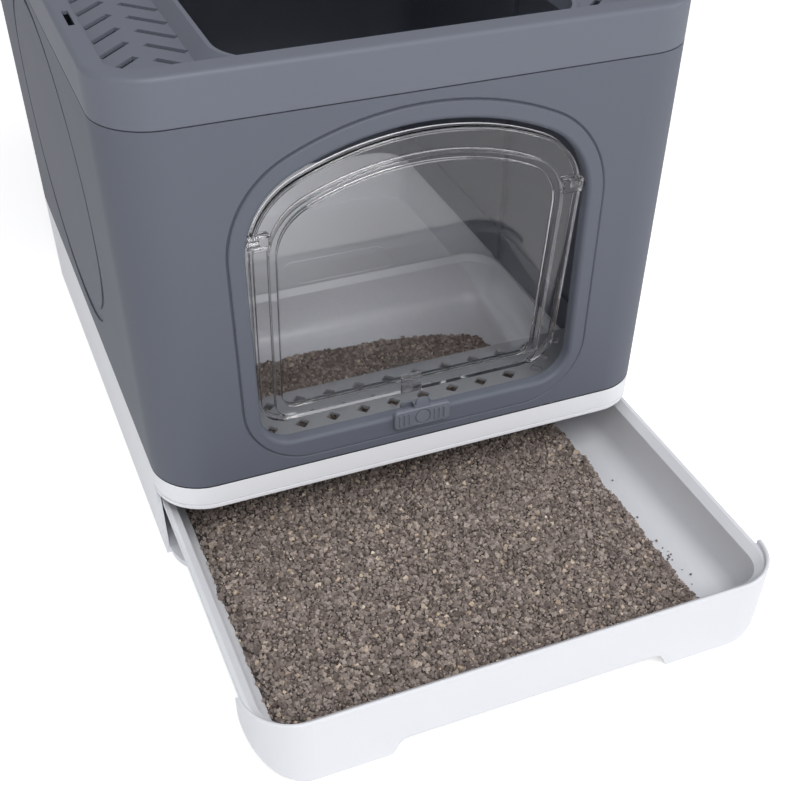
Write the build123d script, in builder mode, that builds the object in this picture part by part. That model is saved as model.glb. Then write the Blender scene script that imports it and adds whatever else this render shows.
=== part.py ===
from build123d import *
from math import atan2, cos, degrees, hypot, radians, sin, sqrt
import os

os.makedirs("parts", exist_ok=True)

# A litter box for cats: a white base with a long drawer, a cabin of two grey half shells with an
# arched flap door in front, and a lift-off top frame with an exit hole and a slotted deck.
# Millimetres, Z up, X to the right, Y to the back; the origin is the middle of the body on the floor.

# ---- body -------------------------------------------------------------------------------------
width, depth, corner_r = 410, 550, 40
base_h = 90.5            # top of the white base
shell_h = 271.8          # height of the grey half shells
top_h = 31.2             # height of the top frame
base_wall, wall = 3.0, 2.5
fit = 0.3                # clearance between pieces that locate each other
lap_t, lap_h = 1.5, 5.0  # locating lap of the top frame in the shells
shell_lap = 30.0         # how far the shells reach down inside the base
seam_h, seam_d = 0.8, 1.1                 # shadow line at the shells' foot and the frame's foot
tab_x, tab_w = (107.0, 116.0), 1.6        # snap tabs that show in the lower shadow line
floor_top, floor_t = 5.5, 2.5
foot_w = 8.0             # width of the foot rim under the base
band_z = 70.0            # underside of the white band above the drawer
leg_y = -235.0           # front edges of the base's side walls
bead_z, bead_w, bead_d = 73.0, 1.0, 0.6

# ---- drawer -----------------------------------------------------------------------------------
pull_out = 216.0         # how far the drawer stands open
drawer_fit = 0.7         # between the drawer's wrapped front and the base
panel_t, panel_top, panel_foot, panel_r = 3.0, 62.5, 1.0, 42.0
tub_fit, tub_short, tub_lip_z = 0.8, 32.0, 58.5   # play at the sides, space behind, height
tub_t, tub_r = 3.0, 33.0
shelf_w, shelf_drop = 5.6, 5.2
draft, cove_r = 3.0, 15.0
grip_half, grip_h, grip_slope = 110.0, 14.0, 8.0
litter_side, litter_left, litter_back = 161.0, 191.0, 189.0   # foot of the heap, drawer closed
litter_h, repose, litter_r = 13.0, 35.0, 50.0
mound_w, mound_h, mound_pitch = 30.0, 1.8, 39.0               # uneven crown of the heap

# ---- step plate behind the doorway -----------------------------------------------------------
sill_top, sill_t, sill_back, sill_lip = 90.0, 2.5, -178.5, 8.0
ledge_w, ledge_t = 6.0, 2.5
hole_size, hole_r, hole_pitch = 8.8, 1.0, 26.1
hole_rows = ((-224.5, -2.2), (-211.2, 11.1), (-192.2, 5.0))     # y of each row, x of one hole in it

# ---- doorway ----------------------------------------------------------------------------------
door_half, door_top, door_foot = 126.0, 342.0, 115.5
crown_r, shoulder_r, foot_r = 220.0, 61.0, 25.0
jamb_t, jamb_depth = 4.0, 9.0
band_w, band_foot, band_foot_r = 11.8, 16.5, 50.0
crest, crease_w, crease_d = 0.9, 1.8, 1.2
backing = 2.0

# ---- flap door ---------------------------------------------------------------------------------
pivot_y, pivot_z, tilt = -268.0, 277.5, 6.0
flap_gap, flap_t = 4.0, 2.0
rim_bead, rim_t = 2.5, 6.0
frame_in, frame_w, frame_t, frame_foot = 13.0, 5.5, 7.0, 11.5
frame_drop, frame_foot_r = 17.0, 16.0
boss_l, boss_w, boss_h, boss_gap = 15.0, 8.0, 10.0, 1.0
pin_r, pin_fit, pin_seat, pin_out = 2.4, 0.1, 8.0, 3.5
socket_w, socket_h = 11.0, 14.0
catch_half, catch_h, catch_t, catch_leg, catch_lift = 8.5, 16.0, 2.0, 3.0, 0.4

# ---- latch -------------------------------------------------------------------------------------
latch_half, latch_h, latch_t, latch_foot = 23.0, 16.0, 3.4, 105.0
latch_travel = 10.0
tongue_half, tongue_flare, tongue_top = 5.0, 7.0, 129.0
button_r, button_ring, rib_first, rib_pitch, rib_w, rib_h = 5.5, 1.2, 10.5, 4.0, 1.6, 0.8
stem_half, stem_h, stem_gap = 3.5, 3.0, 0.2
keeper_half, keeper_h, keeper_t = 12.5, 17.5, 2.0

# ---- top frame ---------------------------------------------------------------------------------
rim_x, rim_y, rim_r = 15.0, 17.0, 20.0      # width of the rim at the sides and ends, inner corner
deck_drop, deck_t = 13.5, 2.5
exit_half, exit_back, exit_r = 122.0, -8.0, 35.0
exit_lip, lip_top, lip_rise = 11.0, 3.0, 9.0        # lip: width at its foot and top, height
slot_l, slot_w, slot_gap, slot_pitch, slot_first = 30.0, 5.0, 10.0, 26.0, -204.5
slot_stagger = 8.0                                  # the arms towards the middle stand forward
slot_edge, slot_columns, column_pitch = 2.0, 6, 64.0
key_l, key_w, key_y, key_in = 27.0, 4.0, -163.5, 9.0

# ---- side relief and seam ----------------------------------------------------------------------
oval_y, oval_z, oval_w, oval_h = 152.0, 124.0, 7.0, 8.0
oval_mid, oval_lift, oval_d = 233.0, 3.0, 1.5
strip_w, strip_t, strip_foot_w, strip_foot, strip_flare = 8.0, 2.0, 13.0, 62.0, 14.0

shell_top = base_h + shell_h
total_h = shell_top + top_h
front = Plane.XZ.offset(depth / 2)
closed_front = -depth / 2
tub_half = width / 2 - base_wall - tub_fit
tub_back = depth / 2 - tub_short


def plan(inset, mode=Mode.ADD):
    """The body's outline seen from above, drawn in by inset."""
    return RectangleRounded(width - 2 * inset, depth - 2 * inset, corner_r - inset, mode=mode)


def zone(y0, y1, mode=Mode.INTERSECT):
    """A band across the body between two depths."""
    with Locations((0, (y0 + y1) / 2)):
        return Rectangle(2 * width, y1 - y0, mode=mode)


def arch(side, top, foot, crown, shoulder, corner, mode=Mode.ADD):
    """An arched face: one crown arc, two shoulder arcs, upright sides and rounded feet."""
    reach, centre = side - shoulder, top - crown
    rise = sqrt((crown - shoulder) ** 2 - reach**2)
    spring, turn = centre + rise, degrees(atan2(rise, reach))
    with BuildLine() as outline:
        CenterArc((0, centre), crown, turn, 180 - 2 * turn)
        CenterArc((-reach, spring), shoulder, 180 - turn, turn)
        Line((-side, spring), (-side, foot + corner))
        CenterArc((corner - side, foot + corner), corner, 180, 90)
        Line((corner - side, foot), (side - corner, foot))
        CenterArc((side - corner, foot + corner), corner, 270, 90)
        Line((side, foot + corner), (side, spring))
        CenterArc((reach, spring), shoulder, 0, turn)
    return make_face(outline.edges(), mode=mode)


def doorway(grow=0.0, lift=0.0, mode=Mode.ADD):
    """The doorway's outline, grown outwards; lift moves its zero height."""
    return arch(door_half + grow, door_top + grow - lift, door_foot - grow - lift,
                crown_r + grow, shoulder_r + grow, foot_r + grow, mode=mode)


def jamb_x(z):
    """Half the doorway's width at a height on its upright sides or shoulders."""
    centre = door_top - crown_r
    spring = centre + sqrt((crown_r - shoulder_r) ** 2 - (door_half - shoulder_r) ** 2)
    return door_half - shoulder_r + sqrt(shoulder_r**2 - max(z - spring, 0) ** 2)


def surround(grow=0.0):
    """The outline of the raised band round the doorway."""
    side = band_w + grow
    return arch(door_half + side, door_top + side, door_foot - band_foot - grow,
                crown_r + side, shoulder_r + side, band_foot_r + grow)


boss_end = jamb_x(pivot_z + hypot(boss_w, boss_h) / 2) - boss_gap
pin_end = jamb_x(pivot_z) + pin_out

# ---- white base: floor on a foot rim, three walls, and the band over the drawer ------------------
with BuildPart() as base_housing:
    with BuildSketch():
        plan(0)
    extrude(amount=base_h)
    with BuildSketch(Plane.XY.offset(floor_top)):
        plan(base_wall)
    extrude(amount=base_h, mode=Mode.SUBTRACT)
    with BuildSketch():                       # underside: a foot rim and a cross of ribs
        plan(foot_w)
        Rectangle(foot_w, depth, mode=Mode.SUBTRACT)
        Rectangle(width, foot_w, mode=Mode.SUBTRACT)
    extrude(amount=floor_top - floor_t, mode=Mode.SUBTRACT)
    with BuildSketch():                       # room for the drawer's wrapped front
        plan(-1)
        plan(panel_t + drawer_fit, mode=Mode.SUBTRACT)
        zone(closed_front - wall, leg_y)
    extrude(amount=band_z, mode=Mode.SUBTRACT)
    with BuildSketch(Plane.XY.offset(sill_top - sill_t - ledge_t)):   # ledge for the step plate
        plan(base_wall)
        plan(base_wall + ledge_w, mode=Mode.SUBTRACT)
        zone(closed_front, sill_back)
    extrude(amount=ledge_t)
    with BuildSketch(Plane.XY.offset(bead_z)):                        # fine bead line round the band
        plan(-1)
        plan(bead_d, mode=Mode.SUBTRACT)
        zone(closed_front - wall, leg_y)
    extrude(amount=bead_w, mode=Mode.SUBTRACT)
    with BuildSketch(Plane.XY.offset(floor_top)):                     # outline moulded in the floor
        with Locations((80, 137)):
            RectangleRounded(118, 48, 12)
            RectangleRounded(112, 42, 9, mode=Mode.SUBTRACT)
    extrude(amount=-0.6, mode=Mode.SUBTRACT)
    base_housing.part.label = "base_housing"
export_step(base_housing.part, "parts/base_housing.step")

# ---- step plate: a perforated tread with a down-turned back edge ---------------------------------
with BuildPart() as sill_plate:
    with BuildSketch(Plane.XY.offset(sill_top - sill_t)):
        plan(base_wall + fit)
        zone(closed_front, sill_back)
    extrude(amount=sill_t)
    with BuildSketch(Plane.XY.offset(sill_top - sill_t)):
        plan(base_wall + ledge_w + fit)
        zone(sill_back - sill_t, sill_back)
    extrude(amount=-sill_lip)
    fillet(sill_plate.edges().filter_by(Axis.X).group_by(Axis.Y)[-1].group_by(Axis.Z)[-1], 1.2)
    with BuildSketch(Plane.XY.offset(sill_top)) as holes:
        for row_y, row_x in hole_rows:
            first = row_x % hole_pitch
            count = int((width / 2 - corner_r / 2 - first) // hole_pitch)
            back = int((width / 2 - corner_r / 2 + first) // hole_pitch)
            with Locations(*[(first + hole_pitch * k, row_y) for k in range(-back, count + 1)]):
                Rectangle(hole_size, hole_size, rotation=45)
        chamfer(holes.vertices(), hole_r)
    extrude(amount=-sill_t, mode=Mode.SUBTRACT)
    sill_plate.part.label = "sill_plate"
export_step(sill_plate.part, "parts/sill_plate.step")


# ---- grey half shells: one closed wall with an oval relief on each side, split at the middle ------
def shell_wall():
    """The wall of both half shells, its lap into the base and the oval relief on each side."""
    with BuildSketch(Plane.XY.offset(base_h)) as ring:
        plan(0)
        plan(wall, mode=Mode.SUBTRACT)
    extrude(ring.sketch, amount=shell_h)
    with BuildSketch(Plane.XY.offset(base_h - shell_lap)) as lap:
        plan(base_wall + fit)
        plan(base_wall + fit + lap_t, mode=Mode.SUBTRACT)
        zone(sill_back + fit, depth)
    extrude(lap.sketch, amount=shell_lap + lap_t)
    with BuildSketch(Plane.XY.offset(base_h)) as root:
        plan(wall / 2)
        plan(base_wall + fit + lap_t / 2, mode=Mode.SUBTRACT)
        zone(sill_back + fit, depth)
    extrude(root.sketch, amount=lap_t)
    with BuildSketch(Plane.XY.offset(base_h)) as shadow:
        plan(-1)
        plan(seam_d, mode=Mode.SUBTRACT)
        with Locations(*[(x, closed_front) for x in tab_x]):
            Rectangle(tab_w, 4 * seam_d, mode=Mode.SUBTRACT)
    extrude(shadow.sketch, amount=seam_h, mode=Mode.SUBTRACT)
    for side in (-1, 1):
        with BuildSketch(Plane.YZ.offset(side * width / 2)) as groove:
            with Locations((0, oval_mid)):
                Ellipse(oval_y, oval_z)
            with Locations((0, oval_mid + oval_lift)):
                Ellipse(oval_y - oval_w, oval_z - oval_h, mode=Mode.SUBTRACT)
        extrude(groove.sketch, amount=-side * oval_d, mode=Mode.SUBTRACT)


with BuildPart() as rear_shell:
    shell_wall()
    split(bisect_by=Plane.XZ, keep=Keep.BOTTOM)
    rear_shell.part.label = "rear_shell"
export_step(rear_shell.part, "parts/rear_shell.step")

with BuildPart() as front_shell:
    shell_wall()
    split(bisect_by=Plane.XZ, keep=Keep.TOP)
    with BuildSketch(front.offset(-wall)):                            # backing behind the crease
        surround(crease_w)
    extrude(amount=-backing)
    with BuildSketch(front.offset(-wall)):
        doorway(jamb_t)
    extrude(amount=wall - jamb_depth)
    with BuildSketch(front):                                          # sloping side of the crease
        surround(crease_w)
    extrude(amount=-crease_d, taper=degrees(atan2(crease_w - 0.5, crease_d)), mode=Mode.SUBTRACT)
    with BuildSketch(front.offset(-crease_d)):                        # raised band
        surround()
    extrude(amount=crease_d + crest)
    for side in (-1, 1):                                              # pin bosses beside the jamb
        with BuildSketch(Plane.YZ.offset(side * boss_end)):
            with Locations((pivot_y, pivot_z)):
                RectangleRounded(socket_w, socket_h, 2)
        extrude(amount=side * (pin_end - boss_end + jamb_t))
    with BuildSketch(front.offset(2 * crest)):                        # the doorway itself
        doorway()
    extrude(amount=-depth / 4, mode=Mode.SUBTRACT)
    band_face = front_shell.faces().sort_by(Axis.Y)[0]
    fillet(band_face.inner_wires()[0].edges(), 0.8 * jamb_t)
    band_face = front_shell.faces().sort_by(Axis.Y)[0]
    chamfer(band_face.outer_wire().edges(), 0.8 * crest)
    for side in (-1, 1):
        with BuildSketch(Plane.YZ.offset(side * boss_end)):
            with Locations((pivot_y, pivot_z)):
                Circle(pin_r + pin_fit)
        extrude(amount=side * (pin_end - boss_end + fit), mode=Mode.SUBTRACT)
    with BuildSketch(front.offset(2 * crest)):                        # notch for the latch's stem
        with Locations((0, door_foot + stem_gap - latch_travel - fit)):
            Rectangle(2 * (stem_half + fit), latch_travel + 2 * fit,
                      align=(Align.CENTER, Align.MIN))
    extrude(amount=-(2 * crest + jamb_depth + backing), mode=Mode.SUBTRACT)
    front_shell.part.label = "front_shell"
export_step(front_shell.part, "parts/front_shell.step")

# ---- seam strips: inside ribs that hold the two half shells and reach down into the base ----------
for side, name in ((-1, "seam_strip_left"), (1, "seam_strip_right")):
    with BuildPart() as seam_strip:
        with BuildSketch(Plane.YZ.offset(side * (width / 2 - base_wall - lap_t - 2 * fit))):
            with BuildLine():
                Polyline((-strip_w / 2, shell_top - fit), (-strip_w / 2, strip_foot + strip_flare),
                         (-strip_foot_w / 2, strip_foot), (strip_foot_w / 2, strip_foot),
                         (strip_w / 2, strip_foot + strip_flare), (strip_w / 2, shell_top - fit),
                         close=True)
            make_face()
        extrude(amount=-side * strip_t)
        with BuildSketch(Plane.YZ.offset(side * (width / 2 - wall - fit))):
            with Locations((0, base_h + lap_t + fit)):
                Rectangle(strip_w, shell_h - lap_t - 2 * fit, align=(Align.CENTER, Align.MIN))
        extrude(amount=-side * (base_wall + lap_t + fit + strip_t - wall))
        fillet(seam_strip.edges().filter_by(Axis.X).group_by(Axis.Z)[0], 2)
        seam_strip.part.label = name
    export_step(seam_strip.part, f"parts/{name}.step")


# ---- drawer: a drafted tub with a sloping shelf, and a front that wraps round both corners --------
drawer = Plane((0, -pull_out, 0))
tub_front = closed_front + panel_t / 2
tub_floor = floor_top + fit


def tub_plan(inset, mode=Mode.ADD):
    """The tub's outline at the height of its lip, drawn in by inset."""
    with Locations((0, (tub_front + tub_back) / 2)):
        return RectangleRounded(2 * (tub_half - inset), tub_back - tub_front - 2 * inset,
                                max(tub_r - inset, 4), mode=mode)


def tub_hollow(gap):
    """The space inside the tub below its shelf: drafted walls coved into the floor."""
    top = tub_lip_z - shelf_drop
    with BuildPart(mode=Mode.PRIVATE) as hollow:
        with BuildSketch(drawer.offset(top)):
            tub_plan(tub_t + shelf_w + gap)
        extrude(amount=-(top - tub_floor - tub_t - gap), taper=draft)
        fillet(hollow.faces().sort_by(Axis.Z)[0].edges(), cove_r - gap)
    return hollow.part


tub_space = tub_hollow(0)
heap_space = tub_hollow(fit)

with BuildPart() as drawer_tray:
    with BuildSketch(drawer.offset(tub_lip_z - shelf_drop)):          # outside of the tub
        tub_plan(shelf_w)
    extrude(amount=-(tub_lip_z - shelf_drop - tub_floor), taper=draft)
    chamfer(drawer_tray.faces().sort_by(Axis.Z)[0].edges(), 0.6 * (cove_r + tub_t))
    with BuildSketch(drawer.offset(tub_lip_z - shelf_drop - tub_t)):
        tub_plan(0)
    extrude(amount=shelf_drop + tub_t)
    with BuildSketch(drawer.offset(tub_lip_z)):                       # sloping shelf
        tub_plan(tub_t)
    extrude(amount=-shelf_drop, taper=degrees(atan2(shelf_w, shelf_drop)), mode=Mode.SUBTRACT)
    add(tub_space, mode=Mode.SUBTRACT)
    with BuildSketch(drawer.offset(panel_foot)):                      # wrapped front
        plan(0)
        plan(panel_t, mode=Mode.SUBTRACT)
        zone(closed_front, leg_y - drawer_fit)
    extrude(amount=panel_top - panel_foot)
    with BuildSketch(drawer.offset(tub_lip_z - tub_t)):               # web from the tub to the front
        plan(panel_t / 2)
        tub_plan(tub_t / 2, mode=Mode.SUBTRACT)
        zone(closed_front, leg_y - drawer_fit)
    extrude(amount=tub_t)
    with BuildSketch(Plane.XZ.offset(depth / 2 + pull_out)) as face:  # rounded lower corners
        with Locations((0, panel_foot)):
            Rectangle(width, panel_top - panel_foot, align=(Align.CENTER, Align.MIN))
        fillet(face.vertices().group_by(Axis.Y)[0], panel_r)
    extrude(amount=-2 * depth, mode=Mode.INTERSECT)
    with BuildSketch(Plane.XZ.offset(depth / 2 + pull_out)) as grip:  # finger cut-out
        with BuildLine():
            Polyline((-grip_half, 0), (grip_slope - grip_half, grip_h + panel_foot),
                     (grip_half - grip_slope, grip_h + panel_foot), (grip_half, 0), close=True)
        make_face()
        fillet(grip.vertices().group_by(Axis.Y)[-1], grip_slope)
    extrude(amount=-1.3 * panel_t, mode=Mode.SUBTRACT)
    chamfer(drawer_tray.faces().sort_by(Axis.Z)[-1].outer_wire().edges(), 0.3 * panel_t)
    drawer_tray.part.label = "drawer_tray"
export_step(drawer_tray.part, "parts/drawer_tray.step")

# ---- litter: a low heap that fills the tub's left and front and slopes out at the right and back ---
with BuildPart() as litter_bed:
    add(heap_space)
    with BuildSketch(drawer.offset(tub_floor + tub_t)) as heap:
        with Locations((litter_side, litter_back)):
            Rectangle(litter_left + litter_side, litter_back - 2 * closed_front,
                      align=(Align.MAX, Align.MAX))
        fillet(heap.vertices().sort_by(Axis.X)[-2:].sort_by(Axis.Y)[-1], litter_r)
    extrude(amount=litter_h + fit, taper=repose, mode=Mode.INTERSECT)
    crown = litter_bed.faces().sort_by(Axis.Z)[-1].bounding_box()
    with BuildSketch(Plane.XY.offset(crown.max.Z)):                   # low mounds on the crown
        across = int((crown.size.X - mound_w) // mound_pitch)
        along = int((crown.size.Y - mound_w) // mound_pitch)
        with Locations((crown.center().X, crown.center().Y)):
            with GridLocations(mound_pitch, mound_pitch, across, along):
                RegularPolygon(mound_w / 2, 6)
    extrude(amount=mound_h, taper=degrees(atan2(mound_w / 4, mound_h)))
    litter_bed.part.label = "litter_bed"
export_step(litter_bed.part, "parts/litter_bed.step")

# ---- flap door: a clear panel with a rim bead, an inner frame and a boss at each pivot -------------
flap = Plane(origin=(0, pivot_y, pivot_z), x_dir=(1, 0, 0),
             z_dir=(0, -cos(radians(tilt)), -sin(radians(tilt))))
flap_foot = door_foot + flap_gap - pivot_z


def flap_frame(inset, foot, mode=Mode.ADD):
    """The outline of the door's inner frame, drawn in by inset."""
    side = flap_gap + frame_in + inset
    return arch(door_half - side, door_top - flap_gap - frame_drop - inset - pivot_z, foot,
                crown_r - side, shoulder_r - side, frame_foot_r - inset, mode=mode)


with BuildPart() as flap_door:
    with BuildSketch(flap.offset(-flap_t / 2)):
        doorway(-flap_gap, pivot_z)
    extrude(amount=flap_t)
    with BuildSketch(flap.offset(-rim_t / 2)):
        doorway(-flap_gap, pivot_z)
        doorway(-flap_gap - rim_bead, pivot_z, mode=Mode.SUBTRACT)
    extrude(amount=rim_t)
    with BuildSketch(flap.offset(-frame_t / 2)):
        flap_frame(0, flap_foot)
        flap_frame(frame_w, flap_foot + frame_foot, mode=Mode.SUBTRACT)
    extrude(amount=frame_t)
    with BuildSketch(flap.offset(-boss_w / 2)):
        for side in (-1, 1):
            with Locations((side * (boss_end - boss_l / 2), 0)):
                Rectangle(boss_l, boss_h)
    extrude(amount=boss_w)
    for side in (-1, 1):
        with BuildSketch(Plane.YZ.offset(side * boss_end)):
            with Locations((pivot_y, pivot_z)):
                Circle(pin_r + fit / 3)
        extrude(amount=-side * (pin_seat + fit / 3), mode=Mode.SUBTRACT)
    flap_door.part.label = "flap_door"
export_step(flap_door.part, "parts/flap_door.step")

with BuildPart() as door_catch:
    with BuildSketch(flap.offset(frame_t / 2)):
        with Locations((0, flap_foot + catch_lift)):
            Rectangle(2 * catch_half, catch_h, align=(Align.CENTER, Align.MIN))
    extrude(amount=catch_t)
    with BuildSketch(flap.offset(flap_t / 2)):
        with Locations((0, flap_foot + catch_lift + catch_h - catch_leg)):
            Rectangle(2 * catch_half, catch_leg, align=(Align.CENTER, Align.MIN))
    extrude(amount=(frame_t - flap_t) / 2)
    fillet(door_catch.faces().sort_by(Axis.Y)[0].edges(), 0.4 * catch_t)
    door_catch.part.label = "door_catch"
export_step(door_catch.part, "parts/door_catch.step")

for side, name in ((-1, "hinge_pin_left"), (1, "hinge_pin_right")):
    with BuildPart() as hinge_pin:
        with BuildSketch(Plane.YZ.offset(side * (boss_end - pin_seat))):
            with Locations((pivot_y, pivot_z)):
                Circle(pin_r)
        extrude(amount=side * (pin_seat + pin_end - boss_end))
        chamfer(hinge_pin.edges().sort_by(Axis.X)[-1 if side > 0 else 0], 0.4 * pin_r)
        hinge_pin.part.label = name
    export_step(hinge_pin.part, f"parts/{name}.step")

# ---- latch: a slider over the raised band, its stem through the slot, and a keeper behind ----------
latch_back = front.offset(crest + fit)
stem_l = crest + fit + jamb_depth + fit
with BuildPart() as latch_slider:
    with BuildSketch(latch_back):
        with Locations((0, latch_foot)):
            Rectangle(2 * latch_half, latch_h, align=(Align.CENTER, Align.MIN))
    extrude(amount=latch_t)
    fillet(latch_slider.edges().filter_by(Axis.Y), latch_h / 5)
    chamfer(latch_slider.faces().sort_by(Axis.Y)[0].edges(), 0.2 * latch_t)
    with BuildSketch(latch_back) as tongue:
        with BuildLine():
            Polyline((-tongue_flare, latch_foot + latch_h / 2), (tongue_flare, latch_foot + latch_h / 2),
                     (tongue_flare, latch_foot + latch_h), (tongue_half, latch_foot + 1.2 * latch_h),
                     (tongue_half, tongue_top), (-tongue_half, tongue_top),
                     (-tongue_half, latch_foot + 1.2 * latch_h), (-tongue_flare, latch_foot + latch_h),
                     close=True)
        make_face()
        fillet(tongue.vertices().group_by(Axis.Y)[-1], 0.6 * tongue_half)
    extrude(amount=0.75 * latch_t)
    with BuildSketch(latch_back.offset(latch_t)):
        for side in (-1, 1):
            with Locations((side * (rib_first + rib_pitch), latch_foot + latch_h / 2)):
                with GridLocations(rib_pitch, 1, 3, 1):
                    Rectangle(rib_w, 0.6 * latch_h)
    extrude(amount=rib_h)
    with BuildSketch(latch_back.offset(latch_t)):
        with Locations((0, latch_foot + latch_h / 2)):
            Circle(button_r + button_ring)
            Circle(button_r, mode=Mode.SUBTRACT)
    extrude(amount=-rib_h, mode=Mode.SUBTRACT)
    with BuildSketch(latch_back):
        with Locations((0, door_foot + stem_gap)):
            Rectangle(2 * stem_half, stem_h, align=(Align.CENTER, Align.MIN))
    extrude(amount=-stem_l)
    latch_slider.part.label = "latch_slider"
export_step(latch_slider.part, "parts/latch_slider.step")

with BuildPart() as latch_keeper:
    with BuildSketch(latch_back.offset(-stem_l)):
        with Locations((0, door_foot + stem_gap + stem_h)):
            Rectangle(2 * keeper_half, keeper_h, align=(Align.CENTER, Align.MAX))
    extrude(amount=-keeper_t)
    fillet(latch_keeper.edges().filter_by(Axis.Y), keeper_h / 6)
    latch_keeper.part.label = "latch_keeper"
export_step(latch_keeper.part, "parts/latch_keeper.step")

# ---- top frame: a hollow rim, a sunk slotted deck, and the exit hole in a raised lip ---------------
deck_top = total_h - deck_drop
deck_foot = deck_top - deck_t
deck_front = rim_y - depth / 2


def deck(grow=0.0, mode=Mode.ADD):
    return RectangleRounded(width - 2 * (rim_x - grow), depth - 2 * (rim_y - grow),
                            rim_r + grow, mode=mode)


def exit_hole(grow=0.0, mode=Mode.ADD):
    with Locations((0, (deck_front + exit_back) / 2)):
        return RectangleRounded(2 * (exit_half + grow), exit_back - deck_front + 2 * grow,
                                exit_r + grow, mode=mode)


with BuildPart() as top_frame:
    with BuildSketch(Plane.XY.offset(shell_top)):
        plan(0)
    extrude(amount=top_h)
    with BuildSketch(Plane.XY.offset(deck_top)):                      # sunk deck
        deck()
    extrude(amount=deck_drop, mode=Mode.SUBTRACT)
    with BuildSketch(Plane.XY.offset(deck_top)):                      # sloping lip of the exit
        exit_hole(exit_lip)
    extrude(amount=lip_rise, taper=degrees(atan2(exit_lip - lip_top, lip_rise)))
    with BuildSketch(Plane.XY.offset(shell_top)):                     # hollow rim
        plan(wall)
        deck(wall, mode=Mode.SUBTRACT)
    extrude(amount=top_h - wall, mode=Mode.SUBTRACT)
    with BuildSketch(Plane.XY.offset(shell_top)):                     # room under the deck
        deck(wall)
    extrude(amount=deck_foot - shell_top, mode=Mode.SUBTRACT)
    with BuildSketch(Plane.XY.offset(deck_foot)):                     # hollow under the lip
        exit_hole(exit_lip / 2)
        exit_hole(wall, mode=Mode.SUBTRACT)
        zone(deck_front + wall, depth)
    extrude(amount=deck_t + lip_rise / 2, mode=Mode.SUBTRACT)
    with BuildSketch(Plane.XY.offset(deck_foot)):
        exit_hole()
    extrude(amount=deck_drop + deck_t, mode=Mode.SUBTRACT)
    rim_top = top_frame.faces().sort_by(Axis.Z)[-1]
    chamfer(rim_top.inner_wires()[0].edges(), 0.4 * wall)
    rim_top = top_frame.faces().sort_by(Axis.Z)[-1]
    fillet(rim_top.outer_wire().edges(), 1.4 * wall)
    with BuildSketch(Plane.XY.offset(deck_top)):                      # angled slots
        arm = (slot_gap + slot_l * sqrt(0.5)) / 2
        rows = int((depth / 2 - rim_y - slot_edge - slot_first) // slot_pitch)
        for column in range(slot_columns):
            x = (column - (slot_columns - 1) / 2) * column_pitch
            outer = column in (0, slot_columns - 1)
            for row in range(-1, rows + 1):
                y = slot_first + slot_pitch * row - slot_l * sqrt(0.125)
                if outer or y > exit_back + exit_lip + slot_l / 2:
                    for side in (-1, 1):
                        with Locations((x + side * arm, y - slot_stagger * (side * x < 0))):
                            Rectangle(slot_l, slot_w, rotation=-45 * side)
        deck(-slot_edge, mode=Mode.INTERSECT)
    extrude(amount=-deck_t, mode=Mode.SUBTRACT)
    with BuildSketch(Plane.XY.offset(total_h)):
        with Locations((0, key_y)):
            with GridLocations(width - 2 * key_in, 1, 2, 1):
                Rectangle(key_w, key_l)
    extrude(amount=-2 * wall, mode=Mode.SUBTRACT)
    with BuildSketch(Plane.XY.offset(shell_top)):                     # lap into the shells
        plan(wall / 2)
        plan(wall + fit + lap_t, mode=Mode.SUBTRACT)
        zone(leg_y, depth)
    extrude(amount=lap_t)
    with BuildSketch(Plane.XY.offset(shell_top)):
        plan(wall + fit)
        plan(wall + fit + lap_t, mode=Mode.SUBTRACT)
        zone(leg_y, depth)
    extrude(amount=-lap_h)
    with BuildSketch(Plane.XY.offset(shell_top)):                     # shadow line at the foot
        plan(-1)
        plan(seam_d, mode=Mode.SUBTRACT)
    extrude(amount=seam_h, mode=Mode.SUBTRACT)
    with BuildSketch(Plane.XY.offset(shell_top)):                     # room for the seam strips
        Rectangle(width - 2 * wall, strip_w + 4 * fit)
    extrude(amount=-lap_h, mode=Mode.SUBTRACT)
    top_frame.part.label = "top_frame"
export_step(top_frame.part, "parts/top_frame.step")
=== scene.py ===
import bpy
import numpy as np
from mathutils import Matrix, Vector


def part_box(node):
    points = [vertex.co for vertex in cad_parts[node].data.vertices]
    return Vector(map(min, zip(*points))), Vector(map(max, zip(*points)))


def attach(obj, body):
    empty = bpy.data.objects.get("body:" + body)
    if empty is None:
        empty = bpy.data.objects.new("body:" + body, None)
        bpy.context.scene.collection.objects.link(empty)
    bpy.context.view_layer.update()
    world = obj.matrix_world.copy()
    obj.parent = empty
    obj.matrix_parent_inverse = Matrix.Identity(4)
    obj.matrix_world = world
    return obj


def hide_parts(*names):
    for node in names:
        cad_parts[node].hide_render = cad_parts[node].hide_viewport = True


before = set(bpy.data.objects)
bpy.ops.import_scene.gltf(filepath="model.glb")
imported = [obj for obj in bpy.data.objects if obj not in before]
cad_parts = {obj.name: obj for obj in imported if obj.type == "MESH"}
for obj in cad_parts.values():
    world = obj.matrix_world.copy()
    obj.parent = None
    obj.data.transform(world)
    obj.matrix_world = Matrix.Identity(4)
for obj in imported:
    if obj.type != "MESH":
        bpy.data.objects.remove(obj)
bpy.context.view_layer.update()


# ---- white base ----------------------------------------------------------------------------------
# An injection-moulded polypropylene tub turned on its foot rim: a floor, three walls and the band
# over the drawer. The white plastic is satin, a little uneven in gloss, with a very fine grain.
def make_group(name, inputs, outputs):
    """An empty shader group with its sockets made: the group, its input and its output node."""
    group = bpy.data.node_groups.new(name, "ShaderNodeTree")
    for label, kind, value in inputs:
        socket = group.interface.new_socket(label, in_out="INPUT", socket_type=kind)
        socket.default_value = value
    for label, kind in outputs:
        group.interface.new_socket(label, in_out="OUTPUT", socket_type=kind)
    return group, group.nodes.new("NodeGroupInput"), group.nodes.new("NodeGroupOutput")


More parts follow.
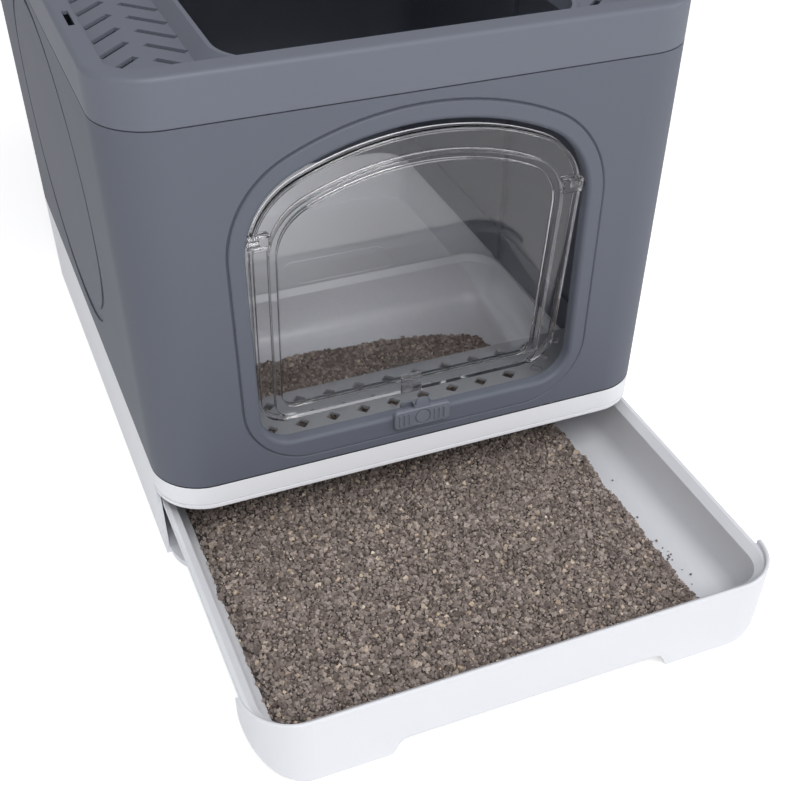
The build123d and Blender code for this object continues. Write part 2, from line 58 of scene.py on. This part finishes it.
moulded, mould_in, mould_out = make_group("moulded plastic", [
    ("Color", "NodeSocketColor", (0.8, 0.8, 0.8, 1)), ("Shade", "NodeSocketFloat", 0.05),
    ("Roughness", "NodeSocketFloat", 0.45), ("Gloss Drift", "NodeSocketFloat", 0.06),
    ("Grain", "NodeSocketFloat", 0.1)],
    [("Color", "NodeSocketColor"), ("Roughness", "NodeSocketFloat"),
     ("Normal", "NodeSocketVector")])
mould_nodes, mould_links = moulded.nodes, moulded.links
place = mould_nodes.new("ShaderNodeTexCoord")
flow = mould_nodes.new("ShaderNodeTexNoise")            # slow drift of tone along the flow
flow.inputs["Scale"].default_value = 9
flow.inputs["Detail"].default_value = 2
mould_links.new(place.outputs["Object"], flow.inputs["Vector"])
speck = mould_nodes.new("ShaderNodeTexNoise")           # spark-eroded surface grain
speck.inputs["Scale"].default_value = 1100
speck.inputs["Detail"].default_value = 2
mould_links.new(place.outputs["Object"], speck.inputs["Vector"])
centred = mould_nodes.new("ShaderNodeMath")
centred.operation = "SUBTRACT"
centred.inputs[1].default_value = 0.5
mould_links.new(flow.outputs["Fac"], centred.inputs[0])
tone = mould_nodes.new("ShaderNodeMath")
tone.operation = "MULTIPLY_ADD"
tone.inputs[2].default_value = 1
mould_links.new(centred.outputs[0], tone.inputs[0])
mould_links.new(mould_in.outputs["Shade"], tone.inputs[1])
tinted = mould_nodes.new("ShaderNodeVectorMath")
tinted.operation = "SCALE"
mould_links.new(mould_in.outputs["Color"], tinted.inputs[0])
mould_links.new(tone.outputs[0], tinted.inputs["Scale"])
mould_links.new(tinted.outputs[0], mould_out.inputs["Color"])
drift = mould_nodes.new("ShaderNodeMath")
drift.operation = "MULTIPLY_ADD"
mould_links.new(centred.outputs[0], drift.inputs[0])
mould_links.new(mould_in.outputs["Gloss Drift"], drift.inputs[1])
mould_links.new(mould_in.outputs["Roughness"], drift.inputs[2])
mould_links.new(drift.outputs[0], mould_out.inputs["Roughness"])
dimple = mould_nodes.new("ShaderNodeBump")
dimple.inputs["Distance"].default_value = 0.0001
mould_links.new(mould_in.outputs["Grain"], dimple.inputs["Strength"])
mould_links.new(speck.outputs["Fac"], dimple.inputs["Height"])
softened = mould_nodes.new("ShaderNodeBevel")           # every moulded edge has a small radius
softened.samples = 4
softened.inputs["Radius"].default_value = 0.0007
mould_links.new(softened.outputs["Normal"], dimple.inputs["Normal"])
mould_links.new(dimple.outputs["Normal"], mould_out.inputs["Normal"])


def plastic(name, color, roughness, shade=0.05, drift=0.06, grain=0.1, gloss=0.5):
    """A moulded plastic: the shared finish with this piece's own values."""
    finish = bpy.data.materials.new(name)
    finish.use_nodes = True
    nodes, links = finish.node_tree.nodes, finish.node_tree.links
    shader = nodes["Principled BSDF"]
    skin = nodes.new("ShaderNodeGroup")
    skin.node_tree = moulded
    for label, value in (("Color", (*color, 1)), ("Shade", shade), ("Roughness", roughness),
                         ("Gloss Drift", drift), ("Grain", grain)):
        skin.inputs[label].default_value = value
    links.new(skin.outputs["Color"], shader.inputs["Base Color"])
    links.new(skin.outputs["Roughness"], shader.inputs["Roughness"])
    links.new(skin.outputs["Normal"], shader.inputs["Normal"])
    shader.inputs["Specular IOR Level"].default_value = gloss
    return finish


def dress(node, finish):
    """Gives a node of the model its finish."""
    piece = bpy.data.objects[node]
    piece.data.materials.clear()
    piece.data.materials.append(finish)


white_plastic = plastic("white base plastic", (0.86, 0.87, 0.90), 0.36, 0.03, 0.05, 0.06)
nodes, links = white_plastic.node_tree.nodes, white_plastic.node_tree.links
rim_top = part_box("base_housing")[1][2]                   # the rim's top face, in the closed joint
# Painted shadow: the rim's top face, seen only in the thin gap under the shells, is coloured near
# black to stand in for the shadow in that gap.
spot = nodes.new("ShaderNodeTexCoord")
height = nodes.new("ShaderNodeSeparateXYZ")
links.new(spot.outputs["Object"], height.inputs["Vector"])
in_joint_shadow = nodes.new("ShaderNodeMath")
in_joint_shadow.operation = "GREATER_THAN"
in_joint_shadow.inputs[1].default_value = rim_top - 0.0002
links.new(height.outputs["Z"], in_joint_shadow.inputs[0])
painted_joint_shadow = nodes.new("ShaderNodeMixRGB")
painted_joint_shadow.inputs["Color2"].default_value = (0.012, 0.012, 0.014, 1)
links.new(in_joint_shadow.outputs[0], painted_joint_shadow.inputs["Fac"])
skin = next(node for node in nodes if node.type == "GROUP")
links.new(skin.outputs["Color"], painted_joint_shadow.inputs["Color1"])
links.new(painted_joint_shadow.outputs["Color"], nodes["Principled BSDF"].inputs["Base Color"])
dress("base_housing", white_plastic)

# ---- step plate ----------------------------------------------------------------------------------
# The perforated tread behind the doorway, pale grey plastic on a ledge of the base, where the cat
# steps out and grains fall back through the diamond holes.
dress("sill_plate", plastic("tread plastic", (0.27, 0.275, 0.29), 0.42, 0.04, 0.06, 0.08))

# ---- cabin shells and seam strips ----------------------------------------------------------------
# Two grey half shells of thin moulded polypropylene, butted at the middle and held by a strip
# inside each seam. The surface is a soft matt with a fine grain.
shell_plastic = plastic("grey shell plastic", (0.118, 0.129, 0.160), 0.52, 0.05, 0.06, 0.12, 0.3)
for node in ("front_shell", "rear_shell", "seam_strip_left", "seam_strip_right"):
    dress(node, shell_plastic)

# ---- drawer tray ---------------------------------------------------------------------------------
# A glossy white tub that slides on the base's floor, with its wrapped front and finger cut-out.
dress("drawer_tray", plastic("white drawer plastic", (0.74, 0.75, 0.78), 0.30, 0.03, 0.05, 0.04))

# ---- litter --------------------------------------------------------------------------------------
# Dry clay granules, mostly one to three millimetres along an edge, raked flat over the drawer's
# floor with loose edges. A lumpy bed, painted dark for the shade between grains, carries separate
# grains, each a crushed block with its own tone.
rng = np.random.default_rng(7)
litter_low, litter_high = (np.array(c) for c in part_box("litter_bed"))
floor_z, crown_z = litter_low[2], litter_high[2]
tub_cove, tub_corner = 0.015, 0.024                      # radii of the tub's foot and corners
heap_full = crown_z - floor_z - 0.0028                   # depth of the heap under its grains
heap_slope, heap_corner = 0.010, 0.048                   # width of its sloping edge, back corner
tub_gap = 0.0041                                         # tub wall, this far outside the box
left_shore = 0.008                                       # left edge, this far inside the box
bed_under, bed_dip, bed_skin = 0.0006, 0.0006, 0.0010    # below grains, below floor, thickness


def waves(x, y, pitch, seed, turns=6):
    """A smooth random height: a sum of sines of like pitch in random directions, about -1 to 1."""
    pick = np.random.default_rng(seed)
    total = np.zeros_like(x)
    for angle, phase, stretch in zip(pick.uniform(0, 6.283, turns), pick.uniform(0, 6.283, turns),
                                     pick.uniform(0.6, 1.6, turns)):
        total += np.sin((x * np.cos(angle) + y * np.sin(angle)) * 6.283 * stretch / pitch + phase)
    return total / turns


def wall_gap(x, y):
    """Distance inwards from the tub's left and front walls and their rounded corner."""
    left, front = x - litter_low[0], y - litter_low[1]
    turn = tub_corner - np.hypot(np.maximum(tub_corner - left, 0),
                                 np.maximum(tub_corner - front, 0))
    return np.minimum(np.minimum(left, front), turn)


def heap_height(x, y):
    """Height of the litter over the tray's floor: full inside, sloping out to the loose edges."""
    ragged = 0.0016 * waves(x, y, 0.020, 3) + 0.0030 * waves(x, y, 0.08, 5)
    right = litter_high[0] - x + ragged
    back = litter_high[1] - 0.13 * np.maximum(x, 0) - y + ragged
    left = x - litter_low[0] - left_shore + 0.6 * ragged
    turn = heap_corner - np.hypot(np.maximum(heap_corner - right, 0),
                                  np.maximum(heap_corner - back, 0))
    shore = np.minimum(np.minimum(right, back), np.minimum(turn, left))
    edge = np.clip(shore / heap_slope, -0.3, 1)
    return edge * (2 - np.abs(edge)) * heap_full + 0.0007 * waves(x, y, 0.05, 9)


def mesh_object(name, verts, faces, attribute=None):
    """A mesh object from arrays, with an optional value per vertex named tone."""
    mesh = bpy.data.meshes.new(name)
    mesh.from_pydata(verts.tolist(), [], faces.tolist())
    if attribute is not None:
        layer = mesh.attributes.new("tone", "FLOAT", "POINT")
        layer.data.foreach_set("value", attribute.astype(np.float32))
    mesh.update()
    piece = bpy.data.objects.new(name, mesh)
    bpy.context.scene.collection.objects.link(piece)
    return piece


# bed: a grid over the heap pulled in at the tub's corner, its underside lying on the tub's cove
across, along = 150, 190
u, v = np.meshgrid(np.linspace(0, 1, across), np.linspace(0, 1, along))
inset = 0.0004
bx = litter_low[0] + inset + u * (litter_high[0] - litter_low[0] - inset)
by = litter_low[1] + inset + v * (litter_high[1] - litter_low[1] - inset)
out_x = np.minimum(bx - litter_low[0] - tub_corner, 0)
out_y = np.minimum(by - litter_low[1] - tub_corner, 0)
off = np.hypot(out_x, out_y)
pull = np.where((out_x < 0) & (out_y < 0),
                np.minimum((tub_corner - inset) / np.maximum(off, 1e-9), 1), 1)
bx, by = bx - out_x * (1 - pull), by - out_y * (1 - pull)
climb = np.clip(tub_cove - wall_gap(bx, by) - tub_gap, 0, tub_cove)
rest = floor_z + tub_cove - np.sqrt(np.maximum(tub_cove ** 2 - climb ** 2, 0))
bz = np.minimum(floor_z + heap_height(bx, by) - bed_under, crown_z)
bz = np.where(bz > rest + 0.0001, bz, rest - bed_dip)    # past the edge it dips under the floor
top = np.stack([bx, by, bz], -1).reshape(-1, 3)
under = np.stack([bx, by, rest - bed_skin], -1).reshape(-1, 3)
rows, cols = np.meshgrid(np.arange(along - 1), np.arange(across - 1), indexing="ij")
first = (rows * across + cols).ravel()
quads = np.stack([first, first + 1, first + across + 1, first + across], 1)
rim = np.concatenate([np.arange(across - 1), (np.arange(along - 1) + 1) * across - 1,
                      np.arange(along * across - 1, (along - 1) * across, -1),
                      np.arange((along - 1) * across, 0, -across)])
after = np.roll(rim, -1)
count = len(top)
skirt = np.stack([rim, rim + count, after + count, after], 1)
bed = mesh_object("litter_heap", np.concatenate([top, under]),
                  np.concatenate([quads, quads[:, ::-1] + count, skirt]))
bed.data.polygons.foreach_set("use_smooth", np.ones(len(bed.data.polygons), dtype=bool))

# grains: crushed blocks scattered over the bed, and a few strays on the bare floor beside it
block = np.array([(-1, -1, -1), (1, -1, -1), (1, 1, -1), (-1, 1, -1),
                  (-1, -1, 1), (1, -1, 1), (1, 1, 1), (-1, 1, 1)]) * 0.66
block_faces = np.array([(0, 2, 1), (0, 3, 2), (4, 5, 6), (4, 6, 7), (0, 1, 5), (0, 5, 4),
                        (1, 2, 6), (1, 6, 5), (2, 3, 7), (2, 7, 6), (3, 0, 4), (3, 4, 7)])


def random_turns(number):
    """Rotation matrices spread evenly over all directions, from random unit quaternions."""
    q = rng.normal(size=(number, 4))
    w, x, y, z = (q / np.linalg.norm(q, axis=1, keepdims=True)).T
    return np.stack([1 - 2 * (y * y + z * z), 2 * (x * y - z * w), 2 * (x * z + y * w),
                     2 * (x * y + z * w), 1 - 2 * (x * x + z * z), 2 * (y * z - x * w),
                     2 * (x * z - y * w), 2 * (y * z + x * w), 1 - 2 * (x * x + y * y)],
                    -1).reshape(-1, 3, 3)


def grain_piece(name, centres, sizes, tones):
    """Grains as one mesh: each a block with its corners pushed in and out, stretched and turned."""
    number = len(centres)
    shape = block[None] * rng.uniform(0.62, 1.25, (number, 8, 3))
    shape = shape * rng.uniform(0.70, 1.15, (number, 1, 3)) * sizes[:, None, None]
    shape = np.einsum("nij,nvj->nvi", random_turns(number), shape) + centres[:, None]
    faces = block_faces[None] + 8 * np.arange(number)[:, None, None]
    return mesh_object(name, shape.reshape(-1, 3), faces.reshape(-1, 3), np.repeat(tones, 8))


pitch, piece_grains = 0.0021, 15000                      # grain spacing, most grains in one mesh
gx, gy = np.meshgrid(np.arange(litter_low[0], litter_high[0] + 0.004, pitch),
                     np.arange(litter_low[1], litter_high[1] + 0.004, pitch))
gx = gx.ravel() + rng.uniform(-0.5, 0.5, gx.size) * pitch
gy = gy.ravel() + rng.uniform(-0.5, 0.5, gy.size) * pitch
sizes = np.clip(rng.lognormal(np.log(0.0016), 0.36, gx.size), 0.0009, 0.0036)
lift = heap_height(gx, gy)
keep = (lift > rng.uniform(-0.0008, 0, gx.size)) & (wall_gap(gx, gy) > sizes + 0.0004)
gx, gy, lift, sizes = gx[keep], gy[keep], lift[keep], sizes[keep]
gz = floor_z + np.maximum(lift, 0) + sizes * rng.uniform(-0.7, 0.5, gx.size)
gz = np.clip(gz, floor_z + sizes * 0.6, crown_z - sizes)
tones = rng.beta(1.5, 2.1, gx.size)
strays = 14                                              # loose grains on the bare floor
sy = rng.choice([-0.30, -0.36, -0.395, -0.42], strays) + rng.normal(0, 0.012, strays)
sx = litter_high[0] + rng.uniform(0.002, 0.012, strays)
ss = rng.uniform(0.0006, 0.0013, strays)
gx, gy = np.concatenate([gx, sx]), np.concatenate([gy, sy])
gz, sizes = np.concatenate([gz, floor_z + ss * 0.7]), np.concatenate([sizes, ss])
tones = np.concatenate([tones, rng.uniform(0.1, 0.5, strays)])
order = np.argsort(gy, kind="stable")
parts = np.array_split(order, max(1, int(np.ceil(len(order) / piece_grains))))
centres = np.stack([gx, gy, gz], 1)
grain_pieces = [grain_piece(f"litter_grains_{k + 1}", centres[part], sizes[part], tones[part])
                for k, part in enumerate(parts)]

clay = bpy.data.materials.new("clay granules")
clay.use_nodes = True
nodes, links = clay.node_tree.nodes, clay.node_tree.links
shader = nodes["Principled BSDF"]
shader.inputs["Roughness"].default_value = 0.85
grade = nodes.new("ShaderNodeAttribute")
grade.attribute_name = "tone"
shades = nodes.new("ShaderNodeValToRGB")
ramp = shades.color_ramp
stops = [(0.0, (0.13, 0.102, 0.090)), (0.30, (0.225, 0.182, 0.160)), (0.55, (0.32, 0.265, 0.238)),
         (0.78, (0.42, 0.355, 0.315)), (0.90, (0.55, 0.43, 0.32)), (1.0, (0.78, 0.70, 0.60))]
while len(ramp.elements) < len(stops):
    ramp.elements.new(0.5)
for element, (at, color) in zip(ramp.elements, stops):
    element.position, element.color = at, (*color, 1)
links.new(grade.outputs["Fac"], shades.inputs["Fac"])
dust_place = nodes.new("ShaderNodeTexCoord")
dust = nodes.new("ShaderNodeTexNoise")
dust.inputs["Scale"].default_value = 900
links.new(dust_place.outputs["Object"], dust.inputs["Vector"])
dusty = nodes.new("ShaderNodeMixRGB")
dusty.blend_type = "OVERLAY"
dusty.inputs["Fac"].default_value = 0.5
links.new(shades.outputs["Color"], dusty.inputs["Color1"])
links.new(dust.outputs["Fac"], dusty.inputs["Color2"])
links.new(dusty.outputs["Color"], shader.inputs["Base Color"])
for piece in grain_pieces:
    piece.data.materials.append(clay)
    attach(piece, "drawer")

# Painted shade: the bed is clay packed under the grains, coloured far darker than the grains to
# stand in for the shade in the gaps between them.
shaded_bed_finish = bpy.data.materials.new("clay bed in painted shade")
shaded_bed_finish.use_nodes = True
nodes, links = shaded_bed_finish.node_tree.nodes, shaded_bed_finish.node_tree.links
shader = nodes["Principled BSDF"]
shader.inputs["Roughness"].default_value = 0.95
where = nodes.new("ShaderNodeTexCoord")
lumps = nodes.new("ShaderNodeTexVoronoi")
lumps.inputs["Scale"].default_value = 330
links.new(where.outputs["Object"], lumps.inputs["Vector"])
lump_shadow_ramp = nodes.new("ShaderNodeValToRGB")
lump_shadow_ramp.color_ramp.elements[0].color = (0.035, 0.028, 0.025, 1)
lump_shadow_ramp.color_ramp.elements[1].color = (0.09, 0.074, 0.066, 1)
links.new(lumps.outputs["Color"], lump_shadow_ramp.inputs["Fac"])
links.new(lump_shadow_ramp.outputs["Color"], shader.inputs["Base Color"])
bed.data.materials.append(shaded_bed_finish)
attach(bed, "drawer")
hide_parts("litter_bed")

# ---- flap door, its catch and pins ---------------------------------------------------------------
# One clear polystyrene moulding: a flat pane with a bead round its rim, a thick inner frame and a
# boss at each pivot. Clear all through, so only edges, beads and reflections draw it.
clear_plastic = bpy.data.materials.new("clear door plastic")
clear_plastic.use_nodes = True
nodes, links = clear_plastic.node_tree.nodes, clear_plastic.node_tree.links
shader = nodes["Principled BSDF"]
shader.inputs["Base Color"].default_value = (0.97, 0.965, 0.975, 1)
shader.inputs["Transmission Weight"].default_value = 1
shader.inputs["IOR"].default_value = 1.5
shader.inputs["Roughness"].default_value = 0.02
edges = nodes.new("ShaderNodeBevel")                     # polished edges catch the light
edges.samples = 4
edges.inputs["Radius"].default_value = 0.0010
links.new(edges.outputs["Normal"], shader.inputs["Normal"])
shade_ray = nodes.new("ShaderNodeLightPath")
through = nodes.new("ShaderNodeBsdfTransparent")
through.inputs["Color"].default_value = (0.72, 0.73, 0.74, 1)
either = nodes.new("ShaderNodeMixShader")
links.new(shade_ray.outputs["Is Shadow Ray"], either.inputs["Fac"])
links.new(shader.outputs["BSDF"], either.inputs[1])
links.new(through.outputs["BSDF"], either.inputs[2])
links.new(either.outputs["Shader"], nodes["Material Output"].inputs["Surface"])
for node in ("flap_door", "door_catch", "hinge_pin_left", "hinge_pin_right"):
    dress(node, clear_plastic)

# ---- latch ---------------------------------------------------------------------------------------
# A small grey slider over the band under the door, clipped through its slot to a keeper behind.
latch_plastic = plastic("latch plastic", (0.150, 0.164, 0.196), 0.42, 0.03, 0.05, 0.10)
dress("latch_slider", latch_plastic)
dress("latch_keeper", latch_plastic)

# ---- top frame -----------------------------------------------------------------------------------
# The lift-off top, a shade lighter and bluer than the shells, with a fine matt grain.
dress("top_frame",
      plastic("top frame plastic", (0.140, 0.152, 0.186), 0.46, 0.05, 0.06, 0.12, 0.35))

# ---- floor, light and camera ---------------------------------------------------------------------
# A seamless white floor under soft lights, and the camera where the photographer stood. Floor and
# backdrop look whiter to the camera than the light they throw on the object.
reach = 6.0
floor = mesh_object("studio_floor", np.array([(-reach, -reach, 0), (reach, -reach, 0),
                                              (reach, reach, 0), (-reach, reach, 0)]),
                    np.array([(0, 1, 2, 3)]))
paper = bpy.data.materials.new("white light table")
paper.use_nodes = True
glow = paper.node_tree.nodes["Principled BSDF"]
glow.inputs["Base Color"].default_value = (0.85, 0.85, 0.85, 1)
glow.inputs["Roughness"].default_value = 0.9
glow.inputs["Specular IOR Level"].default_value = 0.0
glow.inputs["Emission Color"].default_value = (1, 1, 1, 1)
seen = paper.node_tree.nodes.new("ShaderNodeLightPath")
bright = paper.node_tree.nodes.new("ShaderNodeMath")
bright.operation = "MULTIPLY_ADD"
bright.inputs[1].default_value = 0.35
bright.inputs[2].default_value = 0.18
paper.node_tree.links.new(seen.outputs["Is Camera Ray"], bright.inputs[0])
paper.node_tree.links.new(bright.outputs[0], glow.inputs["Emission Strength"])
floor.data.materials.append(paper)

world = bpy.data.worlds.new("studio")
world.use_nodes = True
world.node_tree.nodes["Background"].inputs["Color"].default_value = (0.95, 0.96, 1.0, 1)
air = world.node_tree.nodes.new("ShaderNodeLightPath")
haze = world.node_tree.nodes.new("ShaderNodeMath")
haze.operation = "MULTIPLY_ADD"
haze.inputs[1].default_value = 0.50
haze.inputs[2].default_value = 0.42
world.node_tree.links.new(air.outputs["Is Camera Ray"], haze.inputs[0])
world.node_tree.links.new(haze.outputs[0], world.node_tree.nodes["Background"].inputs["Strength"])
bpy.context.scene.world = world
bpy.context.scene.view_settings.view_transform = "Standard"


def softbox(name, place, aim, size, power):
    """A square soft light at a place, turned to its aim."""
    lamp = bpy.data.lights.new(name, "AREA")
    lamp.shape, lamp.size, lamp.energy = "SQUARE", size, power
    light = bpy.data.objects.new(name, lamp)
    light.matrix_world = Matrix.Translation(place) @ (
        Vector(aim) - Vector(place)).to_track_quat("-Z", "Y").to_matrix().to_4x4()
    bpy.context.scene.collection.objects.link(light)


softbox("key light", (-0.1, -1.72, 2.0), (0, -0.25, 0.1), 1.2, 34)
softbox("right light", (2.4, -1.6, 1.2), (0, -0.2, 0.2), 1.4, 18)
softbox("left light", (-2.4, -0.9, 1.0), (0, -0.2, 0.1), 1.4, 4)

yaw, pitch_down, roll = 0.402, 0.770, 0.015
forward = Vector((np.sin(yaw) * np.cos(pitch_down), np.cos(yaw) * np.cos(pitch_down),
                  -np.sin(pitch_down)))
flat_right = Vector((np.cos(yaw), -np.sin(yaw), 0))
flat_up = flat_right.cross(forward)
right = flat_right * np.cos(roll) + flat_up * np.sin(roll)
up = flat_up * np.cos(roll) - flat_right * np.sin(roll)
lens = bpy.data.cameras.new("camera")
lens.sensor_width, lens.lens = 36, 1150.143 / 800 * 36
lens.shift_x, lens.shift_y = -0.01166, 0.19904
lens.clip_start = 0.02
camera = bpy.data.objects.new("camera", lens)
camera.matrix_world = Matrix((
    (right.x, up.x, -forward.x, -0.287465), (right.y, up.y, -forward.y, -0.933389),
    (right.z, up.z, -forward.z, 0.651539), (0, 0, 0, 1)))
bpy.context.scene.collection.objects.link(camera)
bpy.context.scene.camera = camera
